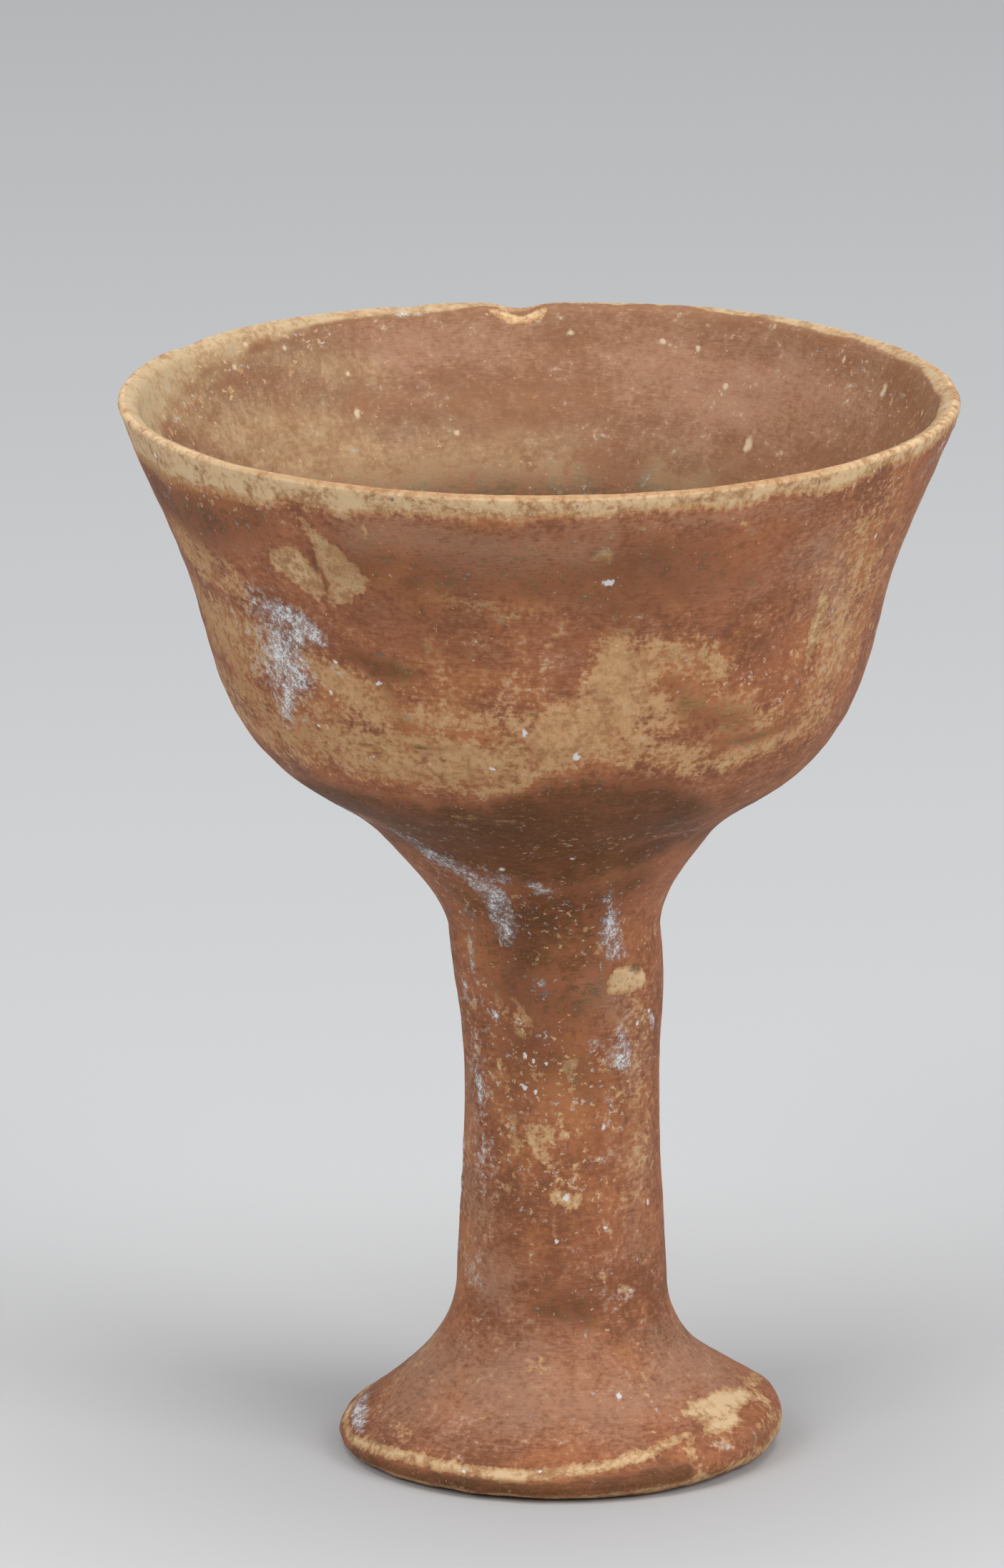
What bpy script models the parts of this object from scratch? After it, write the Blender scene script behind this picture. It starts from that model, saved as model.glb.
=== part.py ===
"""A red-slipped clay chalice: a deep flaring bowl on a solid stem with a spreading foot.

It is one fired piece. The outline is turned about Z, then leaned, swollen and chipped the way the old pot is.
Z = 0 is the plane it stands on, and the origin lies straight below the middle of the mouth.
Azimuth 0 is the front (-Y) and grows towards +X.
"""

import math

import bmesh
import bpy
from mathutils import Vector
from mathutils.geometry import interpolate_bezier

# Foot, in metres
FOOT_RADIUS = 0.0319
FOOT_HEIGHT = 0.0246
EDGE_HEIGHT = 0.0022
EDGE_ROUND = 0.0048
SHOULDER_INSET = 0.0017
SHOULDER_HEIGHT = 0.0046
SEAT_WIDTH = 0.0056
HOLLOW_DEPTH = 0.0085

# Stem, and the flare between it and the bowl
STEM_BASE_RADIUS = 0.0151
WAIST_RADIUS = 0.0139
WAIST_FROM_BASE = 0.0310
STEM_TOP_RADIUS = 0.0152
STEM_LENGTH = 0.0529
FLARE_HEIGHT = 0.0149

# Bowl, with rises counted from its base, where the flare ends
BOWL_BASE_RADIUS = 0.0242
TURN_RADIUS = 0.0385
TURN_RISE = 0.0107
BELLY_RADIUS = 0.0453
BELLY_RISE = 0.0208
THROAT_RADIUS = 0.0492
THROAT_RISE = 0.0339
BOWL_HEIGHT = 0.0630
FLOOR_THICKNESS = 0.0080
BELLY_WALL = 0.0052
THROAT_WALL = 0.0045

# Mouth and lip
MOUTH_RADIUS = 0.0600
LIP_THICKNESS = 0.0032
LIP_ROUND = 0.0009

# How far the hand-made pot strays from the turned one
BOWL_SHIFT = 0.0028
BOWL_TILT = 0.0006
LEAN_LENGTH = 0.0384
FOOT_SWELL = 0.0028
FOOT_UNDERCUT = 0.0009
LIP_WEAR = 0.0010
# Azimuth in degrees, half width in metres, and depth as a share of LIP_WEAR: the worn back, then four chips
LIP_DIPS = (
    (181, 0.028, 0.55),
    (182.7, 0.0034, 0.85),
    (198.5, 0.0026, 0.35),
    (238, 0.0040, 0.4),
    (96, 0.0030, 0.6),
)

SEGMENTS = 96

CLAY_COLOUR = (0.33, 0.105, 0.045, 1.0)
CLAY_ROUGHNESS = 0.78

SEAT_RADIUS = FOOT_RADIUS - EDGE_ROUND
STEM_TOP = FOOT_HEIGHT + STEM_LENGTH
BOWL_BASE = STEM_TOP + FLARE_HEIGHT
MOUTH = BOWL_BASE + BOWL_HEIGHT


def section(radius, height, heading_in, heading_out=None):
    """A point of the outline, and the way the outline runs into and out of it, in degrees from +radius."""
    out = heading_in if heading_out is None else heading_out
    return Vector((radius, height)), math.radians(heading_in), math.radians(out)


def heading(angle):
    return Vector((math.cos(angle), math.sin(angle)))


def inner_section(outer, wall):
    """The section a wall's thickness inside another one, run the other way round."""
    point, into, _ = outer
    inside = point + wall * Vector((-math.sin(into), math.cos(into)))
    return inside, into + math.pi, into + math.pi


def curve_between(start, end, steps):
    """Points of a smooth curve from one section to the next, without its first point."""
    reach = (end[0] - start[0]).length / 3
    near = start[0] + reach * heading(start[2])
    far = end[0] - reach * heading(end[1])
    return [Vector(p[:2]) for p in interpolate_bezier(start[0], near, far, end[0], steps + 1)[1:]]


def outline():
    """The half outline as (radius, height) points, from the axis under the foot to the axis in the bowl."""
    belly = section(BELLY_RADIUS, BOWL_BASE + BELLY_RISE, 67)
    throat = section(THROAT_RADIUS, BOWL_BASE + THROAT_RISE, 76)
    runs = (
        (section(SEAT_RADIUS - SEAT_WIDTH, 0, -50, 0), 3),
        (section(SEAT_RADIUS, 0, 0), 1),
        (section(FOOT_RADIUS, EDGE_HEIGHT, 90), 3),
        (section(FOOT_RADIUS - SHOULDER_INSET, SHOULDER_HEIGHT, 146), 2),
        (section(STEM_BASE_RADIUS, FOOT_HEIGHT, 92), 6),
        (section(WAIST_RADIUS, FOOT_HEIGHT + WAIST_FROM_BASE, 90), 3),
        (section(STEM_TOP_RADIUS, STEM_TOP, 92, 81), 3),
        (section(BOWL_BASE_RADIUS, BOWL_BASE, 52, 49), 4),
        (section(TURN_RADIUS, BOWL_BASE + TURN_RISE, 43), 4),
        (belly, 3),
        (throat, 2),
        (section(MOUTH_RADIUS, MOUTH - LIP_ROUND, 71, 80), 4),
        (section(MOUTH_RADIUS - LIP_ROUND, MOUTH, 178), 2),
        (section(MOUTH_RADIUS - LIP_THICKNESS, MOUTH - 1.5 * LIP_ROUND, 248), 2),
        (inner_section(throat, THROAT_WALL), 3),
        (inner_section(belly, BELLY_WALL), 2),
        (section(0, BOWL_BASE + FLOOR_THICKNESS, 180), 4),
    )
    start = section(0, HOLLOW_DEPTH, 0)
    points = [start[0]]
    for end, steps in runs:
        points += curve_between(start, end, steps)
        start = end
    return points


def ease(low, high, value):
    """0 below low, 1 above high, and a smooth step between."""
    share = min(1.0, max(0.0, (value - low) / (high - low)))
    return share * share * (3 - 2 * share)


def sideways(height):
    """How far +X the middle of the pot is at a height: the stem bends under the bowl, which tilts a little."""
    middle = STEM_TOP + 0.2 * FLARE_HEIGHT
    bend = ease(middle - LEAN_LENGTH / 2, middle + LEAN_LENGTH / 2, height)
    tilt = ease(BOWL_BASE, MOUTH, height)
    undercut = 1 - ease(0, 1.2 * EDGE_HEIGHT, height)
    return BOWL_SHIFT * (1 - bend) + BOWL_TILT * (1 - tilt) - FOOT_UNDERCUT * undercut


def lip_loss(azimuth):
    """How far the lip is worn and chipped down at an azimuth."""
    loss = 0.0
    for at, half_width, share in LIP_DIPS:
        along = MOUTH_RADIUS * math.remainder(azimuth - math.radians(at), math.tau)
        loss += share * LIP_WEAR * math.exp(-((along / half_width) ** 2))
    return loss


def swell(azimuth, radius, height):
    """How far the upper side of the foot is raised, which makes its edge thicker on the right."""
    to_right = max(0.0, math.sin(azimuth)) ** 2
    on_slope = ease(0, SHOULDER_HEIGHT, height) * (1 - ease(0.4 * FOOT_HEIGHT, 0.8 * FOOT_HEIGHT, height))
    outwards = ease(STEM_BASE_RADIUS, FOOT_RADIUS - SHOULDER_INSET, radius)
    return FOOT_SWELL * to_right * on_slope * outwards


def by_hand(point):
    """Moves a point of the turned form to its place on the leaning, swollen and chipped pot."""
    radius = math.hypot(point.x, point.y)
    azimuth = math.atan2(point.x, -point.y)
    height = point.z + swell(azimuth, radius, point.z)
    height -= lip_loss(azimuth) * ease(MOUTH - 4 * LIP_ROUND, MOUTH, point.z)
    return Vector((point.x + sideways(point.z), point.y, height))


def clay():
    """Worn red slip on coarse red clay, as one plain finish."""
    material = bpy.data.materials.new("red_slip")
    material.use_nodes = True
    shader = material.node_tree.nodes["Principled BSDF"]
    shader.inputs["Base Color"].default_value = CLAY_COLOUR
    shader.inputs["Roughness"].default_value = CLAY_ROUGHNESS
    shader.inputs["Metallic"].default_value = 0.0
    return material


def chalice():
    bm = bmesh.new()
    verts = [bm.verts.new((p.x, 0, p.y)) for p in outline()]
    edges = [bm.edges.new(pair) for pair in zip(verts, verts[1:])]
    bmesh.ops.spin(
        bm,
        geom=verts + edges,
        axis=(0, 0, 1),
        cent=(0, 0, 0),
        angle=math.tau,
        steps=SEGMENTS,
        use_merge=True,
    )
    bmesh.ops.remove_doubles(bm, verts=bm.verts, dist=1e-6)
    for vert in bm.verts:
        vert.co = by_hand(vert.co)
    bmesh.ops.recalc_face_normals(bm, faces=bm.faces)
    mesh = bpy.data.meshes.new("chalice")
    bm.to_mesh(mesh)
    bm.free()
    mesh.shade_smooth()
    mesh.materials.append(clay())
    piece = bpy.data.objects.new("chalice", mesh)
    bpy.context.scene.collection.objects.link(piece)
    return piece


def main():
    for old in list(bpy.data.objects):
        bpy.data.objects.remove(old)
    chalice()


main()
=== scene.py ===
"""A worn, red-slipped clay chalice: its surface, its finish and a plain studio.

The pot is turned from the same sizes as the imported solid, as one dense mesh in millimetres, and is scaled to
metres at the end. Azimuth 0 is the front (-Y) and grows towards +X. A place on the pot is an azimuth in
degrees and a height in millimetres.
"""

import math

import bpy
import numpy as np
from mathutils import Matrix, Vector, noise
from mathutils.geometry import interpolate_bezier


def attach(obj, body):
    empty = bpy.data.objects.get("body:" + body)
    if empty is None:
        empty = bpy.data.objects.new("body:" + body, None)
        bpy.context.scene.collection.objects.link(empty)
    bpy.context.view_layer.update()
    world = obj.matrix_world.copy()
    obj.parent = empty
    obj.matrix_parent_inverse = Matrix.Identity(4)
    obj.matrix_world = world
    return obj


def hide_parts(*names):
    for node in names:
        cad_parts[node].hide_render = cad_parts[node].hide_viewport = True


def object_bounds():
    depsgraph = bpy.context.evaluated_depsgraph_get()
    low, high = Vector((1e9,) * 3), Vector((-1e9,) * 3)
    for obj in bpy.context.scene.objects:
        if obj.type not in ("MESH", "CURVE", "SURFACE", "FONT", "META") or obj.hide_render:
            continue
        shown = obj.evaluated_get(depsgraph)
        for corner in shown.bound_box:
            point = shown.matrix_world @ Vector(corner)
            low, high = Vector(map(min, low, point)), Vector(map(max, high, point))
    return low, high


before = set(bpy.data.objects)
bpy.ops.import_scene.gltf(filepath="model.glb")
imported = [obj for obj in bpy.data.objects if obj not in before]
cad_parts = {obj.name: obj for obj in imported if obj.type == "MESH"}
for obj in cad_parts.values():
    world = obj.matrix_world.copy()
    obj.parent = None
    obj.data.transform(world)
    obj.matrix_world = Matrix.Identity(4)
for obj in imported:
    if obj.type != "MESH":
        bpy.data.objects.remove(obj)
cad_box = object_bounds()

MM = 0.001

# Foot
FOOT_RADIUS = 31.9
FOOT_HEIGHT = 24.6
EDGE_HEIGHT = 2.2
EDGE_ROUND = 4.8
SHOULDER_INSET = 1.7
SHOULDER_HEIGHT = 4.6
SEAT_WIDTH = 5.6
HOLLOW_DEPTH = 8.5

# Stem, and the flare between it and the bowl
STEM_BASE_RADIUS = 15.1
WAIST_RADIUS = 13.9
WAIST_FROM_BASE = 31.0
STEM_TOP_RADIUS = 15.2
STEM_LENGTH = 52.9
FLARE_HEIGHT = 14.9

# Bowl, with rises counted from its base
BOWL_BASE_RADIUS = 24.2
TURN_RADIUS = 38.5
TURN_RISE = 10.7
BELLY_RADIUS = 45.3
BELLY_RISE = 20.8
THROAT_RADIUS = 49.2
THROAT_RISE = 33.9
BOWL_HEIGHT = 63.0
FLOOR_THICKNESS = 8.0
BELLY_WALL = 5.2
THROAT_WALL = 4.5

# Mouth and lip
MOUTH_RADIUS = 60.0
LIP_THICKNESS = 3.2
LIP_ROUND = 0.9

# How far the hand-made pot strays from the turned one
BOWL_SHIFT = 2.8
BOWL_TILT = 0.6
LEAN_LENGTH = 38.4
FOOT_SWELL = 2.8
FOOT_UNDERCUT = 0.9
LIP_WEAR = 1.0

# (azimuth, half width in mm, depth as a share of LIP_WEAR): the worn back, then four chips
LIP_DIPS = (
    (181, 28, 0.55),
    (182.7, 3.4, 0.85),
    (198.5, 2.6, 0.35),
    (238, 4.0, 0.4),
    (96, 3.0, 0.6),
)

# The nick in the lip at the back, and its depth at the lip's outer edge as a share of that at the inner edge
NICK_AT = 182.7
NICK_HALF_WIDTH = 4.0
NICK_DEPTH = 2.1
NICK_OUTER_SHARE = 0.45

SEAT_RADIUS = FOOT_RADIUS - EDGE_ROUND
STEM_TOP = FOOT_HEIGHT + STEM_LENGTH
BOWL_BASE = STEM_TOP + FLARE_HEIGHT
MOUTH = BOWL_BASE + BOWL_HEIGHT

# Faces round the pot: few where it is narrow or hidden, many on the bowl
NARROW = 216
WIDE = 432

# The worn band along the lip: (azimuth, how far down the outside, how far down the inside), in mm
LIP_BANDS = (
    (0, 3.3, 1), (40, 3, 1), (75, 2.2, 1.2), (110, 1.4, 0.8),
    (150, 1, 0.2), (180, 1, 0), (215, 1.4, 1.2), (240, 2.2, 3.4),
    (262, 4.2, 6), (285, 5.6, 5.6), (300, 5.6, 3.6), (316, 5, 2),
    (340, 3.6, 1.2),
)

# Marks on the outside, by finish. Each is its places as (azimuth, height, half width), then the width of its
# soft edge and how full it is.
BARE_MARKS = (
    # Leaf-shaped scar under the lip, with a drip running down to it
    (((318.6, 141.2, 2.4), (320.8, 140.8, 3.2), (322.8, 138.8, 2.8), (324.2, 137.2, 1.4)), 0.9, 0.86),
    (((323, 150.6, 0.5), (325, 148.8, 0.7), (326.4, 146.8, 1), (327.4, 145, 1.8)), 0.8, 0.84),
    (((327.4, 145, 1.8), (328.4, 143, 2.8), (329.6, 140.6, 3.4), (328.6, 138.2, 2.3)), 0.9, 0.86),
    (((328.6, 138.2, 2.3), (326.8, 136.6, 1)), 0.8, 0.84),
    (((331, 140.9, 1.8), (333.6, 140.5, 0.8)), 0.8, 0.84),
    (((335, 149.3, 0.4), (335, 147.9, 0.4)), 0.8, 0.8),
    # Small scars on the bowl
    (((50, 134.8, 0.7), (51, 132, 1.4), (51.4, 129, 1.9), (51, 126, 1.3), (50.4, 123.2, 0.6)), 1.7, 0.88),
    (((345, 132.1, 0.3), (345, 127.5, 0.35), (344, 122.8, 0.25)), 0.9, 0.66),
    (((350, 133.6, 0.4), (353, 133.7, 0.4)), 1.2, 0.6),
    (((7.6, 145.2, 0.5), (9.4, 146.2, 0.8), (10.2, 145.2, 0.5)), 1.3, 0.74),
    (((46, 126.4, 0.4), (47.4, 125.6, 0.5)), 1, 0.8),
    (((29, 149.1, 0.4), (30, 149, 0.4)), 0.9, 0.7),
    (((340.6, 102.8, 0.6), (346, 102.9, 0.7)), 1.5, 0.74),
    (((350.4, 102.4, 0.8), (354, 102.6, 0.6)), 1.5, 0.76),
    (((31, 109.8, 0.5), (36, 110.6, 0.9), (42, 110.9, 0.6)), 1.8, 0.74),
    # Stem
    (((32, 72, 1.5), (37, 72.1, 2), (43, 72, 2.1), (48, 71.8, 1.8)), 0.7, 1),
    (((30.4, 71, 0.8), (33, 70.9, 0.9)), 0.7, 1),
    (((324.6, 69.4, 0.9), (328, 68.2, 1.2), (330, 66.6, 0.7)), 2.2, 0.66),
    (((334, 69.8, 0.5), (338.4, 67.6, 1), (343, 66, 0.8)), 1.7, 0.72),
    (((333, 65.4, 0.8), (337, 64.8, 1)), 1.8, 0.7),
    (((328.4, 50.6, 0.9), (331, 48.8, 1.3), (333.6, 47.6, 0.9)), 1.9, 0.74),
    (((337.4, 51, 0.6), (341, 49.4, 1.3), (344, 48.2, 1)), 1.9, 0.76),
    (((346.8, 50.2, 0.7), (352, 50, 0.9)), 1.7, 0.7),
    (((358, 50.4, 0.4), (3, 50, 0.5)), 1.2, 0.7),
    (((348.4, 46.4, 0.8), (353, 45.2, 0.9)), 1.9, 0.66),
    (((5.4, 45.4, 0.7), (9, 44.2, 0.8)), 1.5, 0.72),
    (((14, 46.6, 0.5), (16, 46.2, 0.4)), 1.1, 0.7),
    (((326, 41.6, 0.8), (331, 41.2, 0.7)), 1.5, 0.66),
    (((355.6, 40.9, 0.8), (0, 40.6, 1.1), (5.6, 39.7, 1.2), (8.6, 40.4, 0.8)), 1.2, 0.86),
    (((2.8, 60, 0.8), (5.6, 60.4, 0.8)), 1.2, 0.8),
    (((4, 58.4, 0.5), (5, 58, 0.5)), 1, 0.8),
    (((318.6, 59.9, 0.6), (320.6, 59, 0.5)), 1, 0.82),
    (((325, 56.9, 0.5), (326.4, 55.6, 0.5)), 1, 0.76),
    (((51.6, 53.4, 0.4), (52.2, 51.8, 0.6)), 1, 0.74),
    (((59.4, 47.6, 0.4), (59.8, 46.8, 0.4)), 0.8, 0.8),
    (((304, 77, 0.7), (307, 76, 0.6)), 1.5, 0.76),
    (((43, 41.8, 0.25), (46.4, 41.1, 0.3)), 0.6, 0.84),
    (((22, 28.5, 0.5), (26, 28.2, 0.4)), 1, 0.76),
    (((34, 26.6, 0.5), (38, 25.7, 0.6)), 1.1, 0.76),
    (((50, 29.9, 0.4), (53, 28.9, 0.5)), 0.9, 0.76),
    # Foot: worn line above the edge, the scar at its right end and small marks
    (((258, 4.8, 0.8), (272, 3.7, 0.7), (285, 3.1, 0.7), (300, 3.7, 0.9), (315, 4.2, 1)), 1.3, 0.96),
    (((315, 4.2, 1), (334, 4.2, 1), (349, 4, 1.2), (2, 4.6, 1)), 1.2, 0.98),
    (((2, 4.6, 1), (15, 5.2, 1.1), (24, 5.9, 0.9), (31, 6.6, 0.8), (40, 7.4, 0.6)), 1.2, 0.95),
    (((46, 9.4, 0.8), (52, 9.2, 2.2), (61, 9.3, 2.5), (70, 9.2, 1.9), (76, 9.2, 1.3)), 1.4, 1.12),
    (((47, 7.4, 0.7), (53, 7.6, 1.5), (60, 8, 1.6)), 1.2, 1.1),
    (((76, 9, 1.4), (80, 7.6, 1.3), (76, 6.2, 1), (68, 5.6, 0.8)), 2.2, 0.78),
    (((84, 9.4, 1.6), (98, 8.4, 1.2), (118, 6.6, 0.8)), 2.6, 0.7),
    (((42, 7.2, 0.6), (38, 6.2, 0.8), (37, 4.8, 0.9), (38, 3.2, 0.7)), 1.7, 0.72),
    (((44, 5.8, 0.6), (52, 5.6, 0.8)), 1.6, 0.64),
    (((47, 1.6, 0.6), (60, 2, 0.9), (75, 2.4, 1), (92, 3.2, 0.8)), 1.8, 0.72),
    (((66, 5.4, 0.6), (78, 5.6, 0.8)), 1.6, 0.66),
    (((258, 17.5, 0.6), (266, 15.4, 0.7), (270, 12, 0.6)), 1.8, 0.6),
    (((344.4, 15.8, 0.5), (347, 16.2, 0.4)), 0.9, 0.74),
    (((349.4, 17.4, 0.3), (350.4, 16, 0.45)), 0.8, 0.8),
    (((297, 12.4, 0.4), (299, 12.1, 0.35)), 0.9, 0.76),
    (((331, 10, 0.45), (333, 9.8, 0.4)), 0.9, 0.74),
    (((40, 18.6, 0.4), (42, 17.4, 0.4)), 0.9, 0.66),
    (((34, 13.5, 0.4), (36, 13.1, 0.4)), 0.9, 0.74),
    # Back
    (((130, 6, 0.5), (150, 5, 0.6), (172, 4.4, 0.8), (190, 4.2, 0.8)), 1.6, 0.8),
    (((196, 4.2, 0.6), (214, 4.8, 0.7), (236, 4.8, 0.6), (258, 4.8, 0.7)), 1.6, 0.8),
    (((150, 128.6, 0.6), (152, 126, 1)), 1.3, 0.76),
    (((205, 136, 0.4), (207.4, 133.6, 0.8)), 1.3, 0.74),
    (((232, 118.4, 0.8), (238, 117.2, 1)), 1.9, 0.72),
    (((168, 62, 0.9), (173, 60.4, 1.1)), 1.3, 0.78),
    (((215, 48.6, 1), (221, 46.6, 0.8)), 1.6, 0.74),
    (((140, 84, 0.6), (144, 82.4, 0.8)), 1.4, 0.74),
    # Olive rim at the very bottom of the foot
    (((296, 0.9, 0.8), (330, 0.7, 1), (0, 0.7, 1), (30, 1.2, 0.9), (60, 1.4, 0.8)), 1.8, 0.84),
)

THIN_MARKS = (
    # Left side of the bowl, round the lime
    (((288, 138, 4), (298, 136.4, 4), (305, 134, 3)), 6, 0.9),
    (((286, 127, 6), (298, 124.5, 6), (306, 127, 5)), 7, 0.9),
    (((318, 126, 2), (324, 123.6, 3.2), (330, 120.4, 3.6)), 3.6, 0.96),
    # Belly, left of the middle, above a scalloped edge
    (((284, 114, 6), (298, 113.6, 6.6), (312, 114, 6.6), (326, 114.2, 6.6)), 4, 0.67),
    (((324, 112.6, 5.2), (334, 113, 5), (344, 112, 5), (354, 111.6, 4.2)), 2.6, 0.92),
    (((350, 112.6, 3.8), (358, 114.4, 4), (6, 116, 3.6)), 3, 0.94),
    (((332, 119.4, 2.6), (344, 119.6, 3), (0, 119.4, 3.4)), 5, 0.7),
    # Belly, right of the middle
    (((12, 130, 3.2), (14, 127, 4.8), (13, 122.8, 5.4), (9, 119.4, 5), (2, 116.8, 4.4)), 4.6, 1.3),
    (((2, 116.8, 4.4), (354, 115.2, 3.8)), 4, 0.98),
    (((16, 124.4, 4), (20, 119.6, 3.6)), 4.5, 0.86),
    (((10, 116, 3), (20, 114, 2.6), (30, 112.2, 2)), 3.6, 0.94),
    (((19, 129.8, 2.6), (25, 128.4, 3), (30, 126.2, 2.4)), 4, 0.94),
    (((24, 122, 3.6), (34, 119, 4), (42, 117, 3)), 6, 0.66),
    (((26, 110.4, 1), (38, 111.4, 2), (50, 112.8, 1.8), (62, 114.6, 1.6)), 3, 0.95),
    # Right side
    (((56, 144, 6), (60, 134, 8), (60, 124, 8), (56, 116, 5)), 14, 0.7),
    (((84, 140, 8), (88, 124, 8)), 12, 0.66),
    # Bits above the belly
    (((345, 139, 1.2), (356, 137.4, 1.8), (5, 136, 1.2)), 4, 0.6),
    (((338, 126, 4), (356, 127.6, 4)), 9, 0.42),
    (((342, 131.6, 0.9), (345, 127, 1), (344.6, 122, 1.2)), 3.4, 0.7),
    (((0, 130.6, 0.8), (4, 133.6, 0.9)), 3, 0.56),
    (((20, 137.6, 0.4), (24, 136, 0.6), (22, 133.6, 0.5)), 2.4, 0.6),
    # Back
    (((98, 118, 5), (120, 114, 5), (140, 113, 4), (160, 114, 5), (185, 113, 4)), 6, 0.84),
    (((185, 113, 4), (210, 114, 5), (235, 116, 6), (262, 116, 7)), 6, 0.84),
    (((126, 139, 4), (145, 134, 6)), 9, 0.62),
    (((215, 142, 4), (235, 138, 6), (258, 136, 6)), 10, 0.7),
    (((150, 62, 3), (166, 50, 5)), 9, 0.5),
    # Stem and foot
    (((46, 68, 1.6), (48, 60, 2.6), (50, 50, 3), (52, 40, 2.6)), 8, 0.5),
    (((318, 58, 3), (330, 50, 4), (350, 46, 4)), 8, 0.3),
    (((0, 56, 2), (12, 50, 2)), 6, 0.4),
    (((290, 45, 4), (295, 30, 4)), 8, 0.45),
    (((301, 6.4, 1), (308, 5.8, 1)), 2.4, 0.7),
    (((264, 18, 2.6), (272, 12, 2.6), (280, 7, 2)), 5, 0.5),
    (((344, 15.6, 1.5), (351, 17, 1.5)), 3, 0.4),
)

LIME_MARKS = (
    # Crust on the left of the bowl
    (((309, 134.6, 2.2), (312, 131.4, 5.6), (312.6, 127.6, 6.2)), 3.4, 0.62),
    (((312.6, 127.6, 6.2), (311.6, 123.4, 6), (309.6, 119.4, 4.2), (308.4, 115.4, 1.6)), 3.4, 0.66),
    (((313.4, 133.4, 1.6), (318, 131.4, 2.2), (321.4, 130, 1.7)), 2, 1.15),
    (((317, 129.4, 2), (312.4, 126.8, 2.8), (312, 124, 2.6), (315.4, 122.4, 2)), 2.2, 1.1),
    (((313, 121.4, 1.8), (310.6, 118.4, 1.8), (309.4, 116, 1.1)), 2, 1),
    (((300, 131, 2), (303, 127, 2.4), (303, 122, 2)), 4.6, 0.46),
    (((323, 125.6, 0.6), (325, 124.6, 0.4)), 1.4, 0.66),
    # Flare under the bowl, running down the stem
    (((300, 99.4, 2), (310, 97, 3), (316, 93.8, 3.2), (319, 90, 2.2)), 5, 0.6),
    (((320, 93, 1.8), (326, 90.8, 2.6), (334, 89.4, 2.6), (345, 89.8, 1.5)), 3.4, 0.74),
    (((333, 88.8, 2.6), (337, 85.4, 2.4), (336, 82, 1.9), (334, 78.2, 1)), 2.2, 0.94),
    (((308, 87, 1.2), (312, 82, 1)), 3, 0.5),
    (((354, 89.2, 0.8), (358, 88.2, 1.3), (2, 88.4, 0.8)), 1.6, 0.86),
    (((26, 86.4, 0.8), (29, 83.6, 1.4), (31, 81.6, 1.6)), 3, 0.76),
    (((30, 81, 1.5), (32, 78.6, 1.8), (34, 76.6, 1.3)), 2.2, 0.9),
    (((44, 97, 0.4), (49, 96.6, 0.5)), 1, 0.76),
    (((12, 97.6, 0.4), (17, 97.6, 0.4)), 1, 0.7),
    # Stem
    (((306, 79, 0.7), (308, 72, 0.6)), 2.2, 0.6),
    (((293, 71.2, 0.5), (297, 68, 0.6)), 1.4, 0.76),
    (((346, 73, 1), (352, 71.8, 1.2), (356, 71.8, 0.8)), 2.4, 0.66),
    (((300, 57.4, 0.7), (302, 55.6, 0.9), (303.6, 53.8, 0.7)), 0.9, 1.04),
    (((299, 63, 0.7), (300, 59.4, 0.6)), 2, 0.68),
    (((34, 64, 1), (38, 62, 1.6), (38.6, 59.6, 1.1)), 1.8, 0.95),
    (((22, 63.4, 1), (29, 62, 1.4), (34, 61, 1.4)), 3, 0.62),
    (((32, 69.6, 0.5), (37, 68.6, 0.7), (39, 66.6, 0.5)), 1.9, 0.64),
    (((61, 66, 0.4), (64, 64.6, 0.6), (63, 63.4, 0.4)), 1, 0.86),
    (((320.4, 67.6, 0.6), (322, 66.8, 0.6)), 1, 0.84),
    (((313, 48, 0.5), (316, 45, 0.4)), 1.4, 0.66),
    (((276, 48, 0.6), (275, 44, 0.8), (275, 36, 0.8), (278, 30, 0.7)), 1.8, 0.76),
    (((340, 37.4, 0.4), (349, 37.2, 0.5)), 1.1, 0.72),
    (((296, 29, 1.2), (306, 26.6, 1.6), (315, 23, 1.4)), 4, 0.52),
    (((300, 58, 2), (304, 48, 2.6), (306, 40, 2)), 5, 0.5),
    (((303, 33, 0.7), (308, 29, 0.9)), 3, 0.56),
    (((20, 25.6, 1.2), (60, 26.4, 1.2)), 4, 0.42),
    # Foot
    (((262, 6, 0.9), (272, 5.4, 1.3), (280, 5, 1.4), (288, 4.6, 1)), 1.4, 1),
    (((46, 6, 0.4), (50, 5.2, 0.5)), 1, 0.8),
    # Back
    (((119, 121.4, 1.2), (124, 118.6, 2)), 2.8, 0.74),
    (((220, 98, 1.6), (230, 95, 2.2)), 3.6, 0.66),
    (((186, 76, 0.9), (188, 71.6, 0.8)), 1.7, 0.74),
    (((240, 66, 0.7), (245, 61.6, 1)), 1.7, 0.74),
    (((168, 12.4, 1.2), (184, 11, 1.6)), 3.4, 0.56),
    # Outer right of the lip
    (((70, 149.6, 0.5), (76, 152.4, 1), (84, 153.8, 1.2)), 2.2, 0.78),
)

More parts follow.
